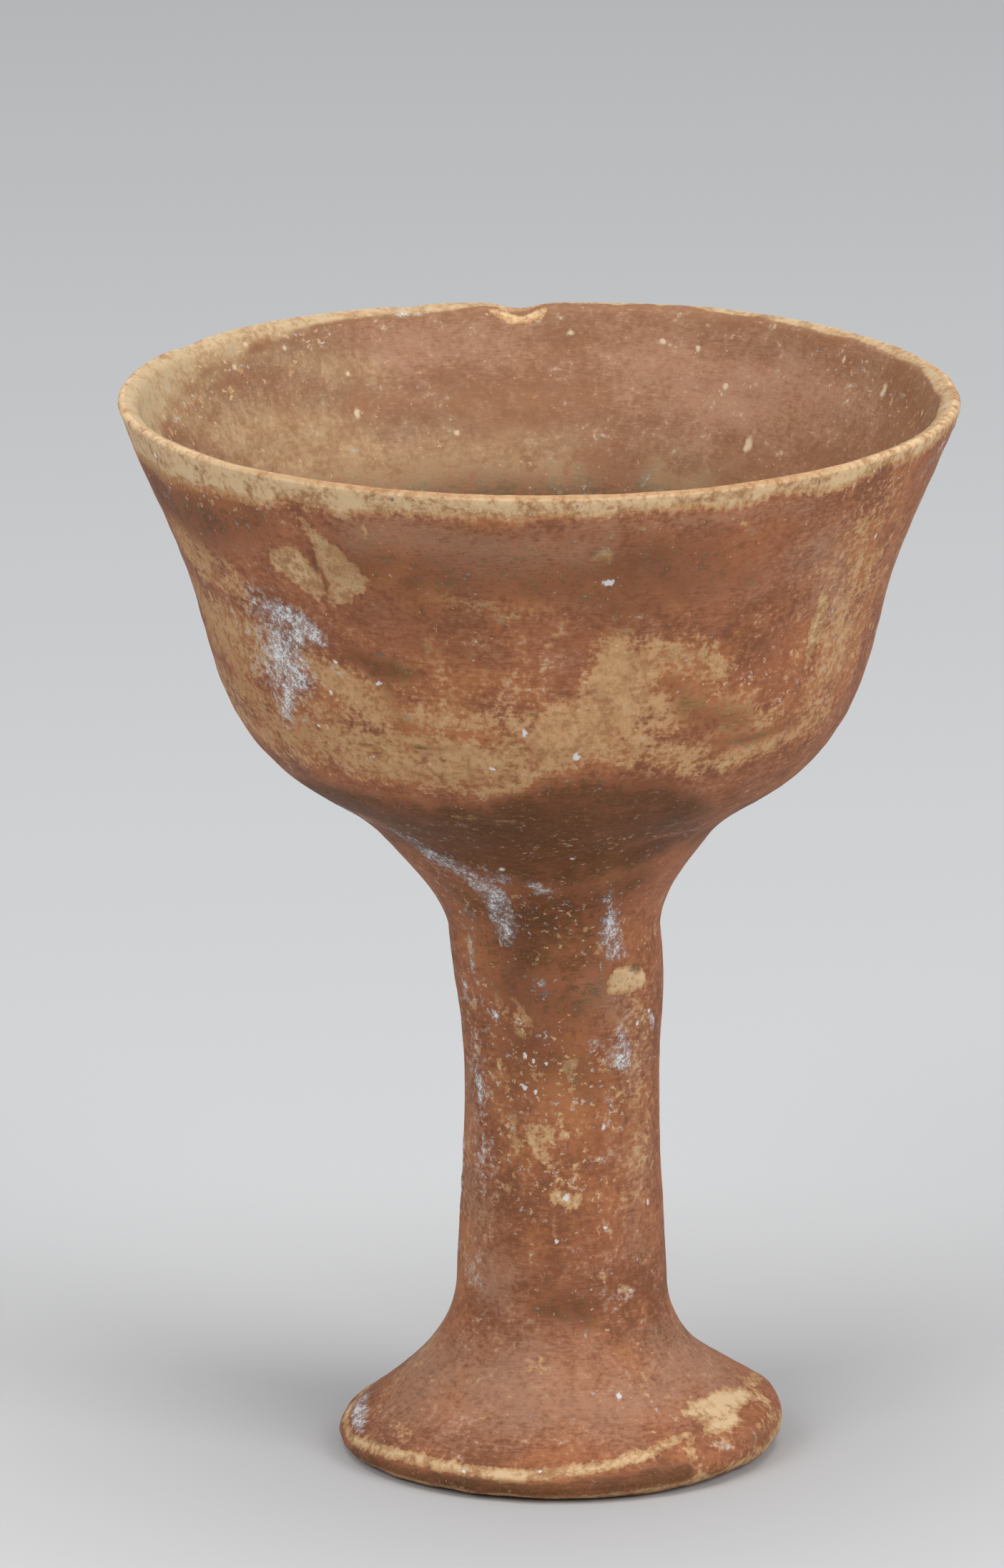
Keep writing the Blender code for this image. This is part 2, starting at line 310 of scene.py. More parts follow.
STAIN_MARKS = (
    # Under the belly, with a scalloped upper edge
    (((298, 101, 4), (312, 101.4, 5.6), (330, 101, 6.2), (344, 100.4, 6.4)), 4.5, 0.95),
    (((340, 101, 6), (352, 101.4, 5.4), (359, 102.6, 7), (8, 103.6, 8)), 4.5, 1.05),
    (((8, 103.6, 8), (18, 103, 7.6), (24, 102.4, 6.4), (34, 101, 4)), 5, 1),
    # Hollow of the flare, and down the stem
    (((318, 97.8, 4), (340, 97.8, 5), (0, 98, 5.5), (24, 98, 5), (42, 98.2, 3)), 6, 1),
    (((312, 95, 4), (335, 94, 6), (0, 93.6, 7), (24, 94, 6), (46, 95.4, 3)), 7, 0.98),
    (((322, 84, 4), (342, 83, 6), (2, 82.6, 6.4), (20, 84, 5), (36, 88, 3)), 11, 0.82),
    (((330, 78, 4), (348, 77.6, 6), (4, 77, 6), (16, 78, 4)), 9, 0.8),
    (((326, 76, 5), (344, 73, 7), (2, 71, 7), (16, 72, 5)), 14, 0.66),
    (((336, 64, 5), (352, 61, 6), (6, 58, 5)), 14, 0.56),
    (((324, 55, 2), (334, 53, 2.4)), 6, 0.4),
    (((60, 100, 4), (100, 100.4, 5), (140, 100, 5), (180, 101, 6)), 6, 0.74),
    (((180, 101, 6), (220, 100.6, 6), (260, 100.4, 5), (298, 100.6, 4)), 6, 0.74),
    (((60, 94, 4), (120, 93.6, 5), (180, 93.6, 6), (240, 93.6, 5), (300, 94, 4)), 7, 0.66),
    # Smudge by the lime, and mottling at the left and right of the belly
    (((286, 122, 8), (300, 117, 8), (316, 114, 6)), 9, 0.3),
    (((327, 128.6, 1), (332, 126.6, 1.8), (338, 126.2, 1.6)), 3.4, 0.74),
    (((332.5, 124.4, 1.2), (334, 120.8, 1.6), (337, 117.6, 1.2)), 4.4, 0.5),
    (((338, 131, 2), (346, 130, 2.4), (352, 128, 2)), 6, 0.5),
    (((330, 135, 3), (342, 134, 4), (352, 135, 3)), 10, 0.4),
    (((331, 125.4, 0.7), (340, 126.4, 0.6)), 1.6, 0.7),
    (((324.8, 143.8, 0.25), (325.3, 140.4, 0.4), (326.2, 136.8, 0.3)), 0.7, 0.86),
    (((22, 125.4, 1.2), (25, 121.6, 2.6), (30, 119, 3), (37, 117.4, 2.4)), 5, 0.62),
    (((285, 146, 5), (300, 144, 6), (316, 147, 3)), 8, 0.6),
    (((330, 143, 7), (350, 143, 8), (10, 143, 8), (26, 143, 7)), 14, 0.5),
    (((31, 114.6, 1), (40, 113.8, 1.4), (50, 114.6, 1)), 2.6, 0.56),
    (((335, 114.4, 0.3), (340, 114.9, 0.35), (345, 115.1, 0.25)), 0.8, 0.9),
    (((347, 114.1, 0.3), (346.4, 110.6, 0.25)), 0.8, 0.66),
    (((357, 121.4, 0.3), (359, 120.8, 0.4)), 0.9, 0.8),
    (((10, 137, 2), (22, 138, 2.6), (34, 139.6, 2)), 7, 0.5),
    (((4, 132, 1), (14, 134.2, 1.2)), 4, 0.5),
    # Hollow of the chip on the stem
    (((45, 73.7, 0.5), (50, 73.2, 0.7)), 0.9, 0.9),
    # Foot of the stem, and the band below the worn line on the foot
    (((348, 24.4, 1.6), (0, 24.4, 2.4), (14, 23.4, 2)), 5, 0.7),
    (
        ((290, 1.8, 0.6), (320, 2.2, 0.9), (340, 2.3, 1), (356, 2.4, 1), (12, 2.9, 1.2), (34, 3.4, 1.2)),
        1.4,
        1,
    ),
    (((60, 4.2, 0.8), (76, 4.2, 0.9)), 1.8, 0.5),
)

# Painted sheen: a lighter pinkish-grey cast along the lit edges of the stem and bowl, round the upward slope
# of the foot and on the upper bowl
PAINTED_SHEEN_MARKS = (
    (((270, 13, 6), (310, 12, 7), (350, 13, 7), (30, 13, 7), (80, 13, 6)), 9, 1),
    (((80, 13, 6), (140, 12, 7), (200, 12, 7), (270, 13, 6)), 9, 0.8),
    (((118, 143, 6), (150, 146, 6)), 9, 0.6),
    (((300, 28, 4), (325, 27, 3)), 6, 0.8),
    (((24, 70, 3), (34, 66, 3)), 6, 0.7),
    (((46, 143, 4), (54, 134, 5), (60, 124, 4)), 9, 1),
    (((44, 64, 2.4), (48, 50, 3), (50, 34, 3)), 6, 0.7),
    (((292, 56, 3), (296, 40, 3.4), (300, 30, 3)), 7, 0.7),
    (((280, 10, 4), (300, 9, 4)), 6, 0.9),
    (((334, 148, 3), (350, 147, 4.4), (6, 146, 3)), 8, 0.75),
    (((40, 150, 1.6), (0, 151, 1.2)), 3, 0.6),
)

FLECKS_MARKS = (
    (((300, 66, 7), (330, 60, 8), (0, 56, 8), (30, 54, 5)), 9, 1.15),
    (((315, 48, 6), (345, 45, 7), (10, 44, 5)), 8, 1),
    (((320, 84, 5), (0, 84, 6), (36, 80, 6)), 9, 0.8),
    (((330, 98, 3), (10, 97, 4), (48, 97, 3)), 7, 0.66),
    (((300, 116, 4), (325, 118, 4)), 8, 0.6),
    (((284, 147.4, 2.5), (300, 148.4, 2.5), (318, 150.4, 2)), 5, 0.85),
    (((40, 152, 1.4), (66, 150, 2.4), (80, 148, 3)), 5, 0.7),
    (((28, 126, 4), (46, 122, 5), (58, 132, 6)), 9, 0.7),
    (((90, 60, 8), (150, 56, 9), (210, 58, 9), (270, 60, 8)), 12, 0.66),
    (((110, 122, 8), (180, 124, 9), (250, 122, 8)), 12, 0.5),
    (((20, 33, 4), (30, 14, 5), (60, 7, 3)), 8, 0.5),
)

MARKS = {
    "bare": BARE_MARKS,
    "thin": THIN_MARKS,
    "lime": LIME_MARKS,
    "stain": STAIN_MARKS,
    "painted_sheen": PAINTED_SHEEN_MARKS,
    "flecks": FLECKS_MARKS,
}

# Marks on the inside, written the same way
INSIDE_MARKS = {
    "bare": (
        # Fracture below the nick at the back
        (((179.2, 154.6, 0.7), (182.6, 153.6, 1.7), (186.2, 154.6, 0.7)), 0.7, 1),
    ),
    "lime": (
        (((196.6, 154.7, 0.4), (201.4, 154.7, 0.5)), 0.9, 0.9),
    ),
    "thin": (
        (((250, 147, 4), (232, 141, 8), (218, 138, 8), (208, 134, 6)), 9, 0.68),
        (((222, 150, 3), (206, 147, 3)), 6, 0.66),
        (((206, 134, 6), (190, 135, 5), (176, 133, 5)), 8, 0.6),
        (((158, 133, 4), (146, 131, 4)), 8, 0.6),
        (((222, 152, 1.2), (238, 151, 1.6), (254, 148, 2)), 3, 0.66),
    ),
    "stain": (
        (((226, 131, 3), (200, 129, 4), (172, 129, 4), (145, 130, 3)), 9, 0.74),
        (((238, 152.6, 0.7), (226, 153.6, 0.6), (212, 154.2, 0.5)), 1.6, 0.5),
    ),
    # Painted sheen on the inside wall
    "painted_sheen": (
        (((168, 149, 4), (152, 144, 6), (136, 146, 6), (120, 149, 5)), 9, 0.9),
        (((206, 151, 3), (184, 150, 4)), 6, 0.8),
        (((260, 142, 3), (250, 138, 4)), 7, 0.6),
    ),
    "flecks": (
        (((260, 147, 3), (235, 150, 3), (215, 152, 3)), 6, 0.8),
        (((128, 151, 2), (110, 150, 3), (96, 149, 3)), 6, 0.8),
    ),
}

# Small spots: (azimuth, height, radius, how many times taller than wide)
WHITE_SPOTS = (
    (10, 141.5, 1, 0.7), (324, 126.4, 0.4, 1), (322, 121.4, 0.4, 1), (317, 115.6, 0.4, 1),
    (332, 124.1, 0.6, 0.6), (357, 118, 0.4, 2.4), (351, 112.1, 0.5, 1), (6, 114.2, 0.6, 1.6),
    (60, 141.4, 0.3, 3), (345, 91.7, 0.6, 0.9), (9, 93.8, 0.4, 1), (343, 60.7, 0.35, 1.4),
    (351, 60.4, 0.3, 1.3), (338, 61.4, 0.35, 1.6), (337, 56.6, 0.55, 1.3), (344, 56, 0.35, 1.4),
    (25, 50.6, 0.4, 1.5), (2, 40.6, 0.55, 1.3), (25, 35.8, 0.4, 1), (357, 34.2, 0.4, 0.9),
    (59, 37.9, 0.4, 1.6), (59, 66.4, 0.35, 1.4), (48, 65.2, 0.3, 1.4), (23, 12.4, 0.6, 0.8),
    (333, 3.9, 0.4, 1), (354, 4.6, 0.45, 1), (294, 152.3, 0.5, 1), (140, 131, 0.5, 1.2),
    (170, 116.4, 0.6, 0.9), (205, 108, 0.5, 1), (228, 139, 0.6, 1.1), (160, 40, 0.5, 1),
    (200, 66, 0.5, 1.3),
)

GREY_SPOTS = (
    (306, 153.2, 0.5, 1), (314, 153.6, 0.4, 1), (340, 153.9, 0.4, 1), (5, 153.8, 0.4, 1),
    (41, 153.6, 0.35, 2.4), (333, 70.8, 0.45, 0.9), (313, 64.6, 0.4, 2), (327, 42.1, 0.6, 1),
    (8, 44.4, 0.4, 1), (17, 54.8, 0.5, 0.6), (335, 60.4, 0.35, 1), (333, 128.6, 0.6, 0.7),
    (20, 133.5, 0.4, 0.8), (28, 131.6, 0.4, 1),
)

INSIDE_SPOTS = (
    (228, 153.6, 0.5, 1), (232, 151, 0.5, 1), (221, 151.9, 0.45, 1), (211, 147.2, 0.35, 1),
    (211, 141.9, 0.55, 1.6), (194, 138, 0.4, 1), (175, 151.1, 0.5, 0.8), (161, 150.6, 0.55, 0.8),
    (155, 150, 0.4, 1.4), (149, 145.4, 0.5, 1), (142, 138.5, 0.75, 2.2), (116, 150.1, 0.7, 1.6),
    (128, 152.1, 0.35, 2), (98, 150.6, 0.4, 1), (124, 147.1, 0.3, 1),
)

# Pits in the surface: (azimuth, height, radius, depth)
PITS = (
    (327, 42.1, 1, 0.5), (333, 70.8, 0.8, 0.35), (51, 73.6, 1.2, 0.5),
    (8, 44.4, 0.7, 0.3), (313, 64.6, 0.7, 0.3), (305, 77.6, 2.4, 0.45),
)

# How marks are drawn: degrees between their points, and how ragged they are, up to a half width in mm
STROKE_TURN = 4
STROKE_RAGGED = 0.3
STROKE_RAGGED_UP_TO = 2.6

# The edge of the worn band on the lip: how far it sways and wobbles, how bare the band is, and how much barer
# for each mm of its width. Then how far down its band each finish reaches, and how soft its edge is.
LIP_SWAY = 0.7
LIP_WOBBLE = 0.22
LIP_BARE = 0.84
LIP_BARER = 0.045
LIP_REACH = {"bare": (0.98, 0.28), "thin": (1.12, 0.34)}

# Relief of the surface, in mm, and the share of it that is left off underneath
BIG_LUMPS = 0.20
SMALL_LUMPS = 0.09
GRAIN = 0.045
RINGS_OUT = 0.05
RINGS_IN = 0.07
RING_GAP_OUT = 4.4
RING_GAP_IN = 5.6
EDGE_CHIPPING = 0.16
SCAR_DEPTH = 0.14
CRUST_HEIGHT = 0.14
CRUST_LUMPS = 0.16
CALM_UNDERSIDE = 0.75

# The map: mm between its parts, the share left free at its sides, and the smallest radius off the axis
MAP_GAP = 1.5
MAP_MARGIN = 0.004
OFF_AXIS = 1e-6


def section(radius, height, heading_in, heading_out=None):
    """A point of the outline, and the way the outline runs into and out of it, in degrees from +radius."""
    out = heading_in if heading_out is None else heading_out
    return Vector((radius, height)), math.radians(heading_in), math.radians(out)


def heading(angle):
    """The direction of an angle, as a step of length 1."""
    return Vector((math.cos(angle), math.sin(angle)))


def inner_section(outer, wall):
    """The section a wall's thickness inside another one, run the other way round."""
    point, into, _ = outer
    inside = point + wall * Vector((-math.sin(into), math.cos(into)))
    return inside, into + math.pi, into + math.pi


def rings():
    """The rings of points that make the pot, from the axis under the foot to the axis in the bowl.

    Each is (radius, height, part of the pot, points round it)."""
    belly = section(BELLY_RADIUS, BOWL_BASE + BELLY_RISE, 67)
    throat = section(THROAT_RADIUS, BOWL_BASE + THROAT_RISE, 76)
    runs = (
        (section(SEAT_RADIUS - SEAT_WIDTH, 0, -50, 0), 2.6, "underside", NARROW),
        (section(SEAT_RADIUS, 0, 0), 1.5, "underside", NARROW),
        (section(FOOT_RADIUS, EDGE_HEIGHT, 90), 0.7, "foot", NARROW),
        (section(FOOT_RADIUS - SHOULDER_INSET, SHOULDER_HEIGHT, 146), 0.7, "foot", NARROW),
        (section(STEM_BASE_RADIUS, FOOT_HEIGHT, 92), 0.75, "foot", NARROW),
        (section(WAIST_RADIUS, FOOT_HEIGHT + WAIST_FROM_BASE, 90), 0.78, "stem", NARROW),
        (section(STEM_TOP_RADIUS, STEM_TOP, 92, 81), 0.78, "stem", NARROW),
        (section(BOWL_BASE_RADIUS, BOWL_BASE, 52, 49), 0.8, "stem", NARROW),
        (section(TURN_RADIUS, BOWL_BASE + TURN_RISE, 43), 0.85, "bowl", WIDE),
        (belly, 0.85, "bowl", WIDE),
        (throat, 0.85, "bowl", WIDE),
        (section(MOUTH_RADIUS, MOUTH - LIP_ROUND, 71, 80), 0.85, "bowl", WIDE),
        (section(MOUTH_RADIUS - LIP_ROUND, MOUTH, 178), 0.32, "bowl", WIDE),
        (section(MOUTH_RADIUS - LIP_THICKNESS, MOUTH - 1.5 * LIP_ROUND, 248), 0.36, "bowl", WIDE),
        (inner_section(throat, THROAT_WALL), 1.3, "inside", WIDE),
        (inner_section(belly, BELLY_WALL), 2.2, "inside", WIDE),
        (section(0, BOWL_BASE + FLOOR_THICKNESS, 180), 3.2, "floor", NARROW),
    )
    start = section(0, HOLLOW_DEPTH, 0)
    found = [(0.0, HOLLOW_DEPTH, "underside", 1)]
    for end, spacing, part, count in runs:
        chord = (end[0] - start[0]).length
        near = start[0] + chord / 3 * heading(start[2])
        far = end[0] - chord / 3 * heading(end[1])
        steps = max(1, math.ceil(chord / spacing))
        for point in interpolate_bezier(start[0], near, far, end[0], steps + 1)[1:]:
            found.append((point.x, point.y, part, count if point.x > OFF_AXIS else 1))
        start = end
    return found


def ease(low, high, value):
    """0 below low, 1 above high, and a smooth step between."""
    share = np.clip((value - low) / (high - low), 0, 1)
    return share * share * (3 - 2 * share)


def around(azimuth, other):
    """The angle from one azimuth to another, in degrees, from -180 to 180."""
    return (azimuth - other + 180) % 360 - 180


def speckle(points, size, seed=0):
    """Smooth noise of a grain size at each point, from -1 to 1."""
    start = Vector((seed * 17.3, seed * -9.1, seed * 5.7))
    return np.array([noise.noise(Vector(p) + start) for p in points / size])


class Pot:
    """The turned pot as rings of points, with what is needed to place marks on it. All in millimetres."""

    def __init__(self):
        self.rings = rings()
        radius = np.array([ring[0] for ring in self.rings])
        height = np.array([ring[1] for ring in self.rings])
        self.counts = np.array([ring[3] for ring in self.rings])
        self.first = np.concatenate([[0], np.cumsum(self.counts)])
        self.ring = np.repeat(np.arange(len(self.counts)), self.counts)
        step = np.arange(self.first[-1]) - self.first[self.ring]
        self.azimuth = (180 + step * 360 / self.counts[self.ring]) % 360
        self.radius = radius[self.ring]
        self.height = height[self.ring]
        run = np.hypot(np.gradient(radius), np.gradient(height))
        # How far the surface faces out from the axis, and up
        self.out = (np.gradient(height) / run)[self.ring]
        self.up = (-np.gradient(radius) / run)[self.ring]
        steps = np.hypot(np.diff(radius), np.diff(height))
        self.along = np.concatenate([[0], np.cumsum(steps)])
        parts = np.array([ring[2] for ring in self.rings])
        top = int(np.argmax(height))
        seat = int(np.argmax(parts == "foot"))
        self.outline = radius[seat:top + 1], height[seat:top + 1]
        self.inline = radius[:top:-1], height[:top:-1]
        self.within = (self.ring > top).astype(float)
        self.under = (self.ring < seat).astype(float)
        self.points = self.turned(self.azimuth, self.radius, self.height)
        # Noise that makes edges ragged or makes them sway
        self.wobble = speckle(self.points, 2.4, 11) + 0.6 * speckle(self.points, 1.1, 12)
        self.sway = speckle(self.points, 8, 13)

    @staticmethod
    def turned(azimuth, radius, height):
        angle = np.radians(azimuth)
        return np.stack([radius * np.sin(angle), -radius * np.cos(angle), height + 0 * angle], -1)

    def place(self, azimuth, height, inside=False):
        """The point of the turned pot's outer or inner wall that ends up at an azimuth and height."""
        radii, heights = self.inline if inside else self.outline
        level = height
        for _ in range(4):
            level = height - swell(azimuth, np.interp(level, heights, radii), level)
        return self.turned(azimuth, np.interp(level, heights, radii), level)

    def stroke(self, places, soft, full, inside=False):
        """A mark along some places: full in its middle, half at its half width, 0 outside its soft edge."""
        joined = [places[0]]
        for start, end in zip(places, places[1:]):
            turn = around(end[0], start[0])
            change = np.array([turn, end[1] - start[1], end[2] - start[2]])
            steps = max(1, math.ceil(abs(turn) / STROKE_TURN))
            joined += [start + change * share for share in np.arange(1, steps + 1) / steps]
        middle = np.array([self.place(azimuth, height, inside) for azimuth, height, _ in joined])
        widths = np.array([half_width for _, _, half_width in joined])
        reach = widths.max() * 1.5 + soft
        low, high = middle.min(0) - reach, middle.max(0) + reach
        near = np.flatnonzero(((self.points > low) & (self.points < high)).all(1) & (self.within == inside))
        points = self.points[near]
        depth = np.full(len(near), -1e9)
        for start, end, width, next_width in zip(middle, middle[1:], widths, widths[1:]):
            along = end - start
            share = np.clip((points - start) @ along / max(along @ along, 1e-9), 0, 1)
            gap = np.linalg.norm(points - start - share[:, None] * along, axis=1)
            depth = np.maximum(depth, width + (next_width - width) * share - gap)
        depth += self.wobble[near] * STROKE_RAGGED * min(widths.mean(), STROKE_RAGGED_UP_TO)
        mark = np.zeros(len(self.points))
        mark[near] = full * np.clip(0.5 + depth / soft, 0, 1)
        return mark

    def marks(self, finish):
        """All the marks of one finish, inside and out, as one value for each point."""
        outside = [self.stroke(*mark) for mark in MARKS[finish]]
        inside = [self.stroke(*mark, inside=True) for mark in INSIDE_MARKS[finish]]
        return np.maximum.reduce(outside + inside)

    def lip_band(self, reach, soft):
        """The worn band that runs round the lip, to a share of its width and with a soft edge."""
        azimuths, outside, inside = np.array(LIP_BANDS).T
        wide_out = np.interp(self.azimuth, azimuths, outside, period=360)
        wide_in = np.interp(self.azimuth, azimuths, inside, period=360)
        width = np.where(self.within > 0, wide_in, wide_out)
        ragged = (LIP_SWAY * self.sway + LIP_WOBBLE * self.wobble) * np.sqrt(width)
        down = MOUTH - self.height - ragged
        full = LIP_BARE + LIP_BARER * width
        return full * np.clip(0.5 + (reach * width - down) / (soft * (0.5 + width)), 0, 1)

    def painted_shade_crest(self):
        """The top of the lip along the front, given painted shade that makes it darker than the band below it.
        """
        front = ease(0.5, 0.85, np.cos(np.radians(self.azimuth)))
        return front * ease(MOUTH - 2.4, MOUTH - 0.9, self.height) * ease(0.3, 0.8, self.up)


def sideways(height):
    """How far +X the pot's middle is at a height: the stem bends under the bowl, which tilts a little."""
    middle = STEM_TOP + 0.2 * FLARE_HEIGHT
    bend = ease(middle - LEAN_LENGTH / 2, middle + LEAN_LENGTH / 2, height)
    tilt = ease(BOWL_BASE, MOUTH, height)
    undercut = 1 - ease(0, 1.2 * EDGE_HEIGHT, height)
    return BOWL_SHIFT * (1 - bend) + BOWL_TILT * (1 - tilt) - FOOT_UNDERCUT * undercut


def lip_loss(azimuth):
    """How far the lip is worn and chipped down at an azimuth."""
    loss = np.zeros_like(azimuth)
    for at, half_width, share in LIP_DIPS:
        along = MOUTH_RADIUS * np.radians(around(azimuth, at))
        loss += share * LIP_WEAR * np.exp(-((along / half_width) ** 2))
    return loss


def nick_floor(azimuth, radius):
    """The height of the fracture in the nick, which slopes down inwards, and above the pot elsewhere."""
    along = MOUTH_RADIUS * np.radians(around(azimuth, NICK_AT))
    inwards = (MOUTH_RADIUS - radius) / LIP_THICKNESS
    share = NICK_OUTER_SHARE + (1 - NICK_OUTER_SHARE) * inwards
    depth = NICK_DEPTH * share * (1 - (along / NICK_HALF_WIDTH) ** 2)
    worn_lip = MOUTH - LIP_DIPS[0][2] * LIP_WEAR
    return np.where(np.abs(along) < NICK_HALF_WIDTH, worn_lip - depth, MOUTH + 1)


def swell(azimuth, radius, height):
    """How far the upper side of the foot is raised, which makes its edge thicker on the right."""
    to_right = np.maximum(0, np.sin(np.radians(azimuth))) ** 2
    on_slope = ease(0, SHOULDER_HEIGHT, height) * (1 - ease(0.4 * FOOT_HEIGHT, 0.8 * FOOT_HEIGHT, height))
    outwards = ease(STEM_BASE_RADIUS, FOOT_RADIUS - SHOULDER_INSET, radius)
    return FOOT_SWELL * to_right * on_slope * outwards


def by_hand(points):
    """Moves points of the turned form to their places on the leaning, swollen and chipped pot."""
    x, y, z = np.atleast_2d(points).T
    radius = np.hypot(x, y)
    azimuth = np.degrees(np.arctan2(x, -y)) % 360
    height = z + swell(azimuth, radius, z)
    height = height - lip_loss(azimuth) * ease(MOUTH - 4 * LIP_ROUND, MOUTH, z)
    return np.stack([x + sideways(z), y, height], -1)


def relief(pot, fields):
    """How far each point stands out of the turned surface: hand marks, rings, wear, crust and pits."""
    points = pot.points
    lumps = BIG_LUMPS * speckle(points, 19, 1) + SMALL_LUMPS * speckle(points, 6, 2)
    grain = speckle(points, 2.2, 3)
    on_bowl = ease(BOWL_BASE, BOWL_BASE + TURN_RISE, pot.height)
    waves = np.sin(points[:, 2] * math.tau / RING_GAP_OUT + 2.2 * speckle(points, 30, 4))
    rings_out = RINGS_OUT * waves * on_bowl * (0.6 + 0.4 * speckle(points, 18, 5))
    waves_in = np.sin(points[:, 2] * math.tau / RING_GAP_IN + 1.6 * speckle(points, 34, 6))
    height = lumps + GRAIN * grain + np.where(pot.within > 0, RINGS_IN * waves_in, rings_out)
    edge = (1 - ease(3.0, 8.0, pot.height)) * ease(26.0, 30.0, pot.radius)
    height += EDGE_CHIPPING * edge * speckle(points, 3.4, 7)
    height -= SCAR_DEPTH * ease(0.35, 0.65, fields["bare"])
    crust = ease(0.3, 0.8, fields["lime"])
    height += crust * (CRUST_HEIGHT + CRUST_LUMPS * speckle(points, 1.3, 8))
    for azimuth, level, radius, depth in PITS:
        gap = np.linalg.norm(points - pot.place(azimuth, level), axis=1)
        height -= depth * (1 - pot.within) * np.clip(1 - (gap / radius) ** 2, 0, 1) ** 1.5
    return height * (1 - CALM_UNDERSIDE * pot.under)


def surface_points(pot, fields):
    """The points of the finished pot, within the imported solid's box."""
    height = relief(pot, fields)
    angle = np.radians(pot.azimuth)
    moved = pot.points.copy()
    moved[:, 0] += height * pot.out * np.sin(angle)
    moved[:, 1] -= height * pot.out * np.cos(angle)
    moved[:, 2] += height * pot.up
    moved = by_hand(moved)
    moved[:, 2] = np.minimum(moved[:, 2], nick_floor(pot.azimuth, pot.radius))
    low, high = (np.array(corner) / MM for corner in cad_box)
    return np.clip(moved, low, high)


def faces(pot):
    """The faces between neighbouring rings, as (ring, step round it) for each corner.

    A ring may have half or twice as many points as the next. A step may equal the ring's count, which is its
    start again, so that a face knows which side of the seam it is on."""
    found = []
    for a, b in zip(range(len(pot.counts) - 1), range(1, len(pot.counts))):
        m, n = int(pot.counts[a]), int(pot.counts[b])
        if m == 1:
            found += [((a, 0), (b, k + 1), (b, k)) for k in range(n)]
        elif n == 1:
            found += [((a, k), (a, k + 1), (b, 0)) for k in range(m)]
        elif n == 2 * m:
            for k in range(m):
                found.append(((a, k), (b, 2 * k + 1), (b, 2 * k)))
                found.append(((a, k), (a, k + 1), (b, 2 * k + 1)))
                found.append(((a, k + 1), (b, 2 * k + 2), (b, 2 * k + 1)))
        elif m == 2 * n:
            for k in range(n):
                found.append(((a, 2 * k), (a, 2 * k + 1), (b, k)))
                found.append(((a, 2 * k + 1), (b, k + 1), (b, k)))
                found.append(((a, 2 * k + 1), (a, 2 * k + 2), (b, k + 1)))
        else:
            found += [((a, k), (a, k + 1), (b, k + 1), (b, k)) for k in range(n)]
    return found


def map_islands(pot):
    """Where each part of the pot lies on the map: strips across its width, and two discs in the last row."""
    gap = MAP_GAP
    level = gap
    islands = {}
    parts = [ring[2] for ring in pot.rings]
    for part in ("bowl", "inside", "foot", "stem"):
        rows = [i for i, name in enumerate(parts) if name == part]
        start = pot.along[rows[0] - 1]
        islands[part] = level - start
        level += pot.along[rows[-1]] - start + gap
    floor_radius = pot.along[-1] - pot.along[parts.index("floor") - 1]
    under_radius = pot.along[parts.index("foot") - 1]
    top = level + 2 * floor_radius + gap
    across = 1 / (2 * (floor_radius + under_radius) + 3 * gap)
    under_middle = 2 * gap + 2 * floor_radius + under_radius
    islands["floor"] = ((gap + floor_radius) * across, level + floor_radius, across)
    islands["underside"] = (under_middle * across, level + floor_radius, across)
    return islands, top


def map_places(pot, corners):
    """The place on the map of each corner of each face."""
    islands, top = map_islands(pot)
    places = []
    for face in corners:
        part = pot.rings[max(ring for ring, _ in face)][2]
        spot = islands[part]
        middle = sum(step / pot.counts[ring] for ring, step in face) / len(face)
        for ring, step in face:
            count = pot.counts[ring]
            turn = step / count if count > 1 else middle
            if part in ("floor", "underside"):
                reach = pot.along[-1] - pot.along[ring] if part == "floor" else pot.along[ring]
                x = spot[0] + reach * spot[2] * math.sin(math.tau * turn)
                y = spot[1] + reach * math.cos(math.tau * turn)
            else:
                shift = 0.5 if part == "inside" else 0.0
                x = turn + (shift if middle < 0.5 else -shift)
                x = MAP_MARGIN + (1 - 2 * MAP_MARGIN) * x
                y = spot + pot.along[ring]
            places += [x, y / top]
    return places


def chalice(pot, finish):
    """The pot as one closed mesh, with its marks kept on its points for the finish to read."""
    fields = {name: pot.marks(name) for name in MARKS}
    for name, (reach, soft) in LIP_REACH.items():
        fields[name] = np.maximum(fields[name], pot.lip_band(reach, soft))
    fields["inside"] = pot.within
    # Painted shade on the top of the lip at the front
    fields["painted_shade_crest"] = pot.painted_shade_crest()
    corners = faces(pot)
    index = [[int(pot.first[ring] + step % pot.counts[ring]) for ring, step in face] for face in corners]
    mesh = bpy.data.meshes.new("chalice_surface")
    mesh.from_pydata((surface_points(pot, fields) * MM).tolist(), [], index)
    mesh.uv_layers.new(name="OFBake").data.foreach_set("uv", map_places(pot, corners))
    for name, field in fields.items():
        layer = mesh.attributes.new(name, "FLOAT", "POINT")
        layer.data.foreach_set("value", field.astype(np.float32))
    mesh.shade_smooth()
    mesh.materials.append(finish)
    piece = bpy.data.objects.new("chalice_surface", mesh)
    bpy.context.scene.collection.objects.link(piece)
    return piece


def linear(*srgb):
    """A colour given as 0 to 255 sRGB values, as the linear values that a shader takes."""
    shares = [value / 255 for value in srgb]
    return tuple(s / 12.92 if s < 0.04045 else ((s + 0.055) / 1.055) ** 2.4 for s in shares) + (1.0,)


SLIP_RED = linear(156, 96, 64)
SLIP_DARK = linear(122, 75, 49)
SLIP_ORANGE = linear(172, 112, 71)
SLIP_INSIDE = linear(134, 97, 69)
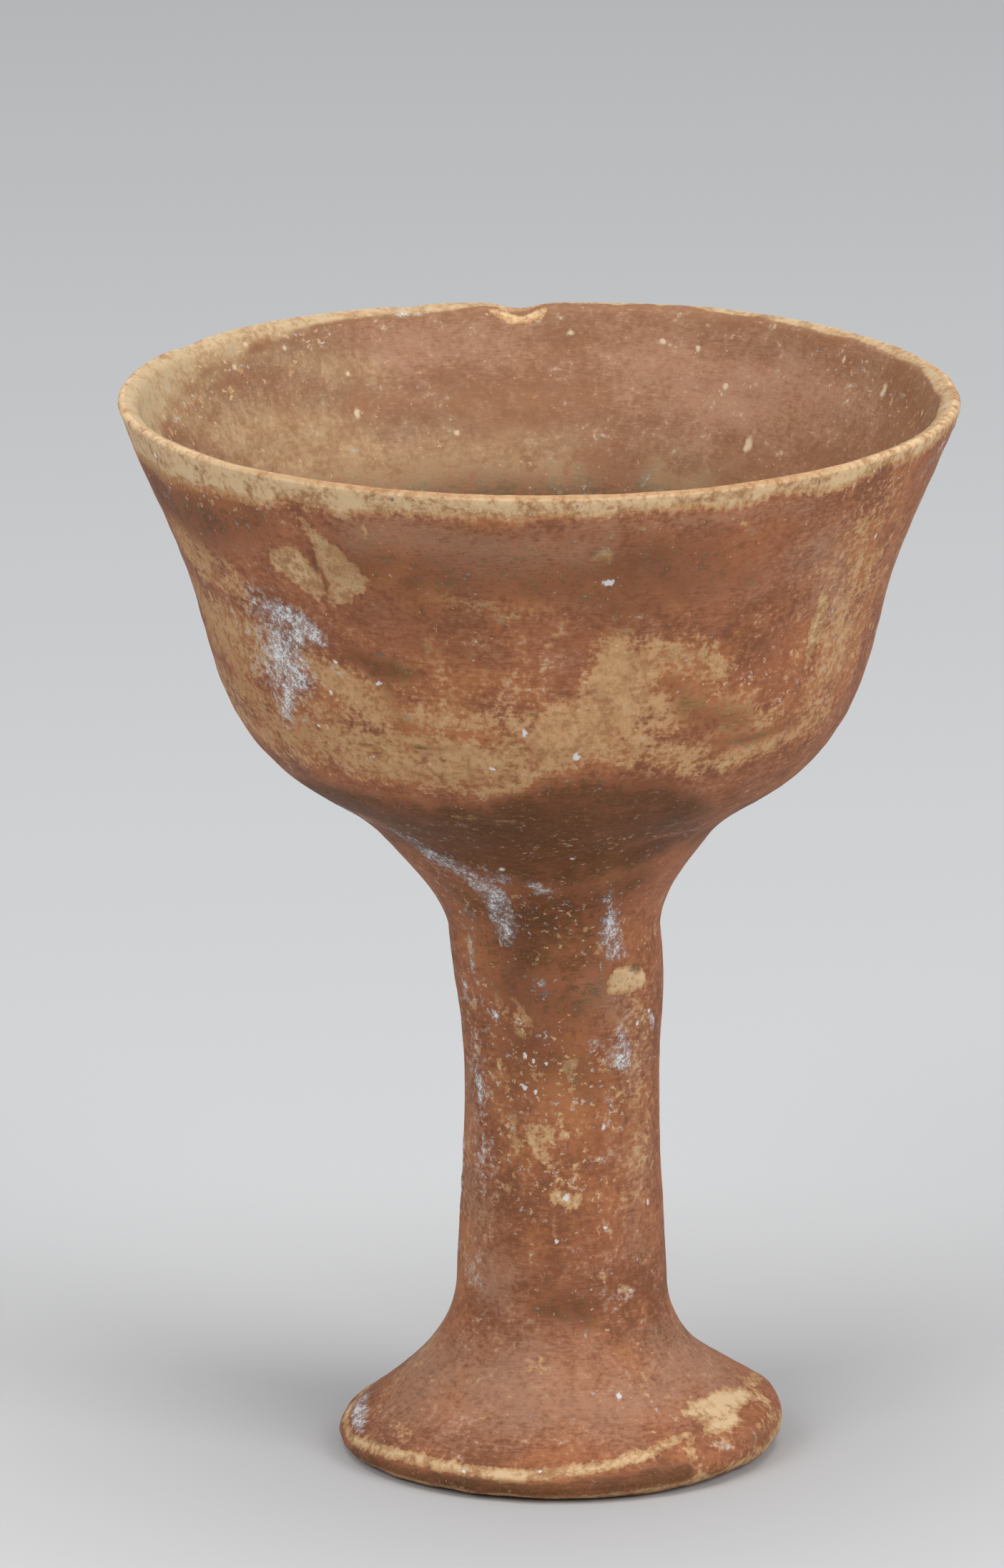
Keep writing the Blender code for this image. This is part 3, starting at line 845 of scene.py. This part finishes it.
# A pinkish-grey haze, which also serves as painted sheen
HAZE_AND_SHEEN = linear(174, 134, 108)
BUFF = linear(191, 151, 107)
BUFF_PALE = linear(210, 181, 142)
BUFF_DEEP = linear(156, 114, 78)
DUST = linear(160, 144, 114)
LIME = linear(150, 150, 154)
LIME_WHITE = linear(218, 220, 220)
CREAM = linear(212, 194, 164)
SOIL = linear(167, 169, 145)
SOIL_ON_CLAY = linear(166, 155, 132)
GREY_GRIT = linear(104, 98, 94)

# How rough the slip is, how much rougher worn clay and crust are, and the fine bumps (depth in metres)
ROUGHNESS = 0.68
WORN_ROUGHER = 0.14
CRUST_ROUGHER = 0.2
BUMP_STRENGTH = 0.4
BUMP_DEPTH = 0.00022

# Shaken places move by this many times the noise. The largest radius and the soft edge of scattered spots are
# shares of the gap between them.
SHAKE = 5
LARGEST_SPOT = 0.36
SPOT_EDGE = 0.14


class Value:
    """A number that changes over the surface. Sums on it add Math nodes."""

    def __init__(self, tree, socket):
        self.tree = tree
        self.socket = socket

    def math(self, operation, other):
        return self.tree.node("ShaderNodeMath", {"operation": operation}, {0: self, 1: other})

    def __add__(self, other):
        return self.math("ADD", other)

    __radd__ = __add__

    def __sub__(self, other):
        return self.math("SUBTRACT", other)

    def __rsub__(self, other):
        return (self * -1) + other

    def __mul__(self, other):
        return self.math("MULTIPLY", other)

    __rmul__ = __mul__

    def most(self, other):
        return self.math("MAXIMUM", other)

    def least(self, other):
        return self.math("MINIMUM", other)

    def between(self, low, high):
        """0 below low, 1 above high, and a smooth step between."""
        settings = {"interpolation_type": "SMOOTHSTEP"}
        sockets = {"Value": self, "From Min": low, "From Max": high}
        return self.tree.node("ShaderNodeMapRange", settings, sockets)


class Tree:
    """The node tree of one material."""

    def __init__(self, name):
        self.material = bpy.data.materials.new(name)
        self.material.use_nodes = True
        self.nodes = self.material.node_tree.nodes
        self.links = self.material.node_tree.links
        self.shader = self.nodes["Principled BSDF"]

    def node(self, kind, settings=None, sockets=None, output=0):
        made = self.nodes.new(kind)
        for name, value in (settings or {}).items():
            setattr(made, name, value)
        for name, value in (sockets or {}).items():
            self.feed(made.inputs[name], value)
        return Value(self, made.outputs[output])

    def feed(self, socket, value):
        if isinstance(value, Value):
            self.links.new(value.socket, socket)
        else:
            socket.default_value = value

    def field(self, name):
        return self.node("ShaderNodeAttribute", {"attribute_name": name}, output="Fac")

    def vector(self, operation, *places, output=0):
        settings = {"operation": operation}
        return self.node("ShaderNodeVectorMath", settings, dict(enumerate(places)), output)

    def squashed(self, place, times):
        """A place with its height stretched, so that what is drawn on it is that many times flatter."""
        return self.vector("MULTIPLY", place, (1, 1, times))

    def noise(self, place, size, detail=3.0, roughness=0.5, output=0):
        """Noise with grains of a size in mm, about 0.5."""
        sockets = {"Vector": place, "Scale": 1 / (size * MM), "Detail": detail, "Roughness": roughness}
        return self.node("ShaderNodeTexNoise", None, sockets, output)

    def shaken(self, place, size, reach):
        """A place moved by noise of a grain size, by about a reach, both in mm, to make shapes ragged."""
        moved = self.vector("SUBTRACT", self.noise(place, size, output="Color"), (0.5, 0.5, 0.5))
        return self.vector("MULTIPLY_ADD", moved, (SHAKE * reach * MM,) * 3, place)

    def mix(self, share, first, second, blend="MIX"):
        """Two colours mixed: the first where share is 0, the second, or the two blended, where it is 1."""
        settings = {"data_type": "RGBA", "blend_type": blend}
        return self.node("ShaderNodeMix", settings, {0: share, 6: first, 7: second}, output=2)

    def scatter(self, place, size, share, ragged):
        """Scattered spots of many sizes: a share of the places, a size in mm apart, has one."""
        gap = self.node("ShaderNodeTexVoronoi", None, {"Vector": place, "Scale": 1 / (size * MM)})
        colour = Value(self, gap.socket.node.outputs["Color"])
        lot = self.node("ShaderNodeSeparateColor", None, {0: colour})
        return ((lot - 1 + share).least(LARGEST_SPOT) - gap + ragged).between(0.0, SPOT_EDGE)

    def spots(self, place, spots, inside, pot):
        """How close the surface is to the nearest spot: 1 in its middle, 0 at its edge and beyond."""
        nearest = None
        for azimuth, height, radius, tall in spots:
            centre = by_hand(pot.place(azimuth, height, inside))[0] * MM
            apart = self.squashed(self.vector("SUBTRACT", place, tuple(centre)), 1 / tall)
            close = 1 - self.vector("LENGTH", apart, output="Value") * (1 / (radius * MM))
            nearest = close if nearest is None else nearest.most(close)
        return nearest


def red_slip(pot):
    """Red slip, wiped and lightly burnished on buff clay, worn, stained and crusted with lime, with painted
    sheen and painted shade.
    """
    tree = Tree("red_slip")
    place = tree.node("ShaderNodeTexCoord", output="Object")
    bare, thin, lime, stain, painted_sheen, flecks = (tree.field(name) for name in MARKS)
    inside, painted_shade_crest = tree.field("inside"), tree.field("painted_shade_crest")

    # Grain of many sizes, each 0 on average
    cloud = tree.noise(place, 15, 4, 0.55) - 0.5
    patch = tree.noise(place, 3.6, 5, 0.62) - 0.5
    rag = tree.noise(place, 0.9, 4, 0.65) - 0.5
    fine = tree.noise(place, 0.3, 2, 0.6) - 0.5
    wipe = tree.noise(tree.squashed(place, 6), 3.4, 5, 0.65) - 0.5
    hair = tree.noise(tree.squashed(place, 8), 1.6, 4, 0.65) - 0.5
    drift = tree.noise(place, 8, 3, 0.5) - 0.5
    froth = tree.noise(place, 1.2, 3, 0.7) - 0.5
    shaken = tree.shaken(place, 1.0, 0.35)

    # Slip: wiped streaks between dark and full red, thinner and more orange where it is worn
    tone = 0.5 + cloud * 1.7 + wipe + hair * 0.7 + patch * 1.1 + rag
    slip = tree.mix(tone.between(0.0, 1.0), SLIP_DARK, SLIP_RED)
    orange = 0.12 + thin * 0.8 + drift * 2.4 + wipe * 0.8 + rag * 1.2 + patch * 0.8
    slip = tree.mix(orange.between(0.0, 1.0) * 0.75, slip, SLIP_ORANGE)
    slip = tree.mix((inside * 0.85 + patch * 0.5).between(0.0, 1.0) * 0.8, slip, SLIP_INSIDE)
    # A lighter pinkish-grey cast: haze scattered at random, and painted sheen on the sheen marks
    haze_and_sheen = painted_sheen * 0.66 + 0.12 - flecks * 0.18 - drift + hair * 1.3 + rag * 1.2 + patch * 0.6
    slip = tree.mix(haze_and_sheen.between(0.0, 1.0) * 0.6, slip, HAZE_AND_SHEEN)

    # Clay: buff, paler where it is rubbed, and darker with painted shade on top of the lip at the front
    clay = tree.mix((0.5 + wipe * 0.6 + patch * 1.8 + rag * 1.4).between(0.05, 0.9), BUFF_DEEP, BUFF)
    pale = (bare - 0.66 + hair * 0.3 + patch * 1.6 + rag * 0.7).between(0.0, 0.6)
    clay = tree.mix(pale * 0.85, clay, BUFF_PALE)
    # Painted shade on the top of the lip at the front
    clay = tree.mix(painted_shade_crest * 0.6, clay, BUFF_DEEP)

    # Where the slip is rubbed, scarred or scratched away, with some of it left in the scars
    ragged = (patch * 1.9 + rag * 1.6 + wipe * 1.1 + hair * 0.5) * (1 - inside * 0.78)
    rubbed = (thin + ragged).between(0.32, 0.98) * 0.9
    scarred = (bare + (rag * 1.2 + patch * 1.3) * (1.25 - bare)).between(0.34, 0.64)
    scratched = (hair * 1.4 + rag * 0.9 + patch * 0.5).between(0.2, 0.42) * 0.5
    left = tree.scatter(shaken, 1.7, 0.3, rag * 0.6 + fine * 0.6)
    gone = rubbed.most(scarred).most(scratched) * (1 - left * 0.18)
    colour = tree.mix(gone, slip, clay)

    # Stains darken what is under them, with pale hairlines through them, and dust lies in the bowl
    mottle = rag * 2.8 + patch * 2.6 + wipe * 1.2 + hair
    soiled = (stain * 1.4 - 0.36 + mottle * (stain.least(1.0) * 0.7 + 0.35)).between(0.0, 0.9)
    soiled = soiled * (0.84 + hair * 1.5 + wipe * 1.2 + patch).least(1.0)
    colour = tree.mix(soiled, colour, tree.mix(gone, SOIL, SOIL_ON_CLAY), "MULTIPLY")
    hairlines = (hair * 1.8 + rag + patch * 0.6).between(0.2, 0.44) * stain.least(1.0)
    colour = tree.mix(hairlines * 0.22, colour, BUFF)
    colour = tree.mix(inside * (0.1 + thin * 0.6 + patch).between(0.0, 1.0) * 0.6, colour, DUST)

    # Pale grains of the clay showing through, from large to fine
    flatter = tree.squashed(shaken, 1.3)
    for where, size, share, edge, full, tint in (
        (tree.shaken(place, 1.5, 0.6), 3.0, 0.06 + flecks * 0.34, rag * 1.1 + fine * 0.5, 0.6, BUFF),
        (shaken, 1.7, 0.14 + flecks * 0.34 + thin * 0.06, rag * 0.8 + fine * 0.7, 0.62, BUFF),
        (flatter, 1.1, 0.2 + flecks * 0.34 + thin * 0.1, fine * 1.1, 0.6, BUFF_PALE),
    ):
        colour = tree.mix(tree.scatter(where, size, share, edge) * full, colour, tint)

    # Lime: a bluish film, foamy and whiter where it is thick, and scattered flecks
    film = (lime * 1.1 + patch * 1.9 + rag * 1.8).between(0.3, 1.0)
    foam = (0.42 + froth * 4.0 + fine * 2.6).between(0.0, 1.0)
    core = (lime - 0.74 + patch * 2.0 + rag * 1.4).between(0.0, 0.42)
    crust = (film * (0.22 + foam * 0.46) + core * (0.14 + foam * 0.26)).least(0.94)
    dusted = tree.scatter(tree.squashed(shaken, 1.4), 1.3, 0.14 + flecks * 0.3 + lime * 0.3, fine * 1.2)
    chalk = tree.mix((foam * 0.6 + core * 0.4).least(1.0), LIME, LIME_WHITE)
    colour = tree.mix(crust.most(dusted * 0.58), colour, chalk)

    # Small spots, each in its own place
    nudged = tree.shaken(place, 1.0, 0.16)
    for spots, within, edge, low, full, tint in (
        (WHITE_SPOTS, False, rag * 1.4 + fine * 0.8, 0.0, 0.8, LIME_WHITE),
        (INSIDE_SPOTS, True, rag, -0.3, 0.72, CREAM),
        (GREY_SPOTS, False, rag, 0.1, 0.8, GREY_GRIT),
    ):
        spot = (tree.spots(nudged, spots, within, pot) + edge).between(low, 0.5)
        colour = tree.mix(spot * full, colour, tint)

    bumps = patch * 0.6 + rag * 0.6 + fine * 0.4 + hair * 0.25 - gone * 0.25 + crust * 0.6
    sockets = {"Strength": BUMP_STRENGTH, "Distance": BUMP_DEPTH, "Height": bumps}
    for name, value in {
        "Base Color": colour,
        "Roughness": (ROUGHNESS + gone * WORN_ROUGHER + crust * CRUST_ROUGHER).least(0.95),
        "Normal": tree.node("ShaderNodeBump", None, sockets),
        "Metallic": 0.0,
        "IOR": 1.45,
        "Specular IOR Level": 0.3,
    }.items():
        tree.feed(tree.shader.inputs[name], value)
    return tree.material


# The studio, in metres. Each light is (name, place, size, power)
SURROUNDING = (0.86, 0.89, 0.93, 1.0)
SURROUNDING_STRENGTH = 0.44
FLOOR_HALF = 4.0
FLOOR_COLOUR = (0.5, 0.5, 0.5, 1.0)
FLOOR_ROUGHNESS = 0.8
LIGHTS = (
    ("key", (-1.1, -1.1, 1.2), 1.0, 14.8),
    ("fill", (1.3, -0.9, 1.0), 1.0, 18.5),
    ("top", (0.0, -0.1, 1.7), 1.2, 18.5),
)
LIGHTS_AIM = Vector((0, 0, 0.09))
CAMERA_ELEVATION = math.radians(15)
CAMERA_DISTANCE = 2.5
CAMERA_AIM = Vector((-0.0052, 0, 0.098))
CAMERA_LENS = 401.55
CAMERA_SENSOR = 36.0
CAMERA_REACH = 20.0


def stand(name, data, place, facing):
    """Puts a light or a camera at a place, facing a direction with its top upwards."""
    made = bpy.data.objects.new(name, data)
    made.location = place
    made.rotation_mode = "QUATERNION"
    made.rotation_quaternion = facing.to_track_quat("-Z", "Y")
    bpy.context.scene.collection.objects.link(made)
    return made


def pale_floor():
    """A plain pale floor that reaches far past the pot."""
    half = FLOOR_HALF
    mesh = bpy.data.meshes.new("floor")
    corners = [(-half, -half, 0), (half, -half, 0), (half, half, 0), (-half, half, 0)]
    mesh.from_pydata(corners, [], [(0, 1, 2, 3)])
    tree = Tree("pale_floor")
    tree.feed(tree.shader.inputs["Base Color"], FLOOR_COLOUR)
    tree.feed(tree.shader.inputs["Roughness"], FLOOR_ROUGHNESS)
    mesh.materials.append(tree.material)
    floor = bpy.data.objects.new("floor", mesh)
    bpy.context.scene.collection.objects.link(floor)


def studio():
    """A plain pale floor, a pale surrounding and three soft lights."""
    scene = bpy.context.scene
    scene.view_settings.view_transform = "Standard"
    world = bpy.data.worlds.new("pale_surrounding")
    world.use_nodes = True
    background = world.node_tree.nodes["Background"]
    background.inputs["Color"].default_value = SURROUNDING
    background.inputs["Strength"].default_value = SURROUNDING_STRENGTH
    scene.world = world
    pale_floor()
    for name, place, size, power in LIGHTS:
        light = bpy.data.lights.new(name, "AREA")
        light.size = size
        light.energy = power
        stand(name, light, place, LIGHTS_AIM - Vector(place))


def camera():
    """The camera, at the photograph's angle."""
    data = bpy.data.cameras.new("camera")
    data.lens = CAMERA_LENS
    data.sensor_width = CAMERA_SENSOR
    data.clip_end = CAMERA_REACH
    back = Vector((0, -math.cos(CAMERA_ELEVATION), math.sin(CAMERA_ELEVATION)))
    bpy.context.scene.camera = stand("camera", data, CAMERA_AIM + CAMERA_DISTANCE * back, -back)


pot = Pot()
surface = chalice(pot, red_slip(pot))
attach(surface, "root")
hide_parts("chalice")
studio()
camera()
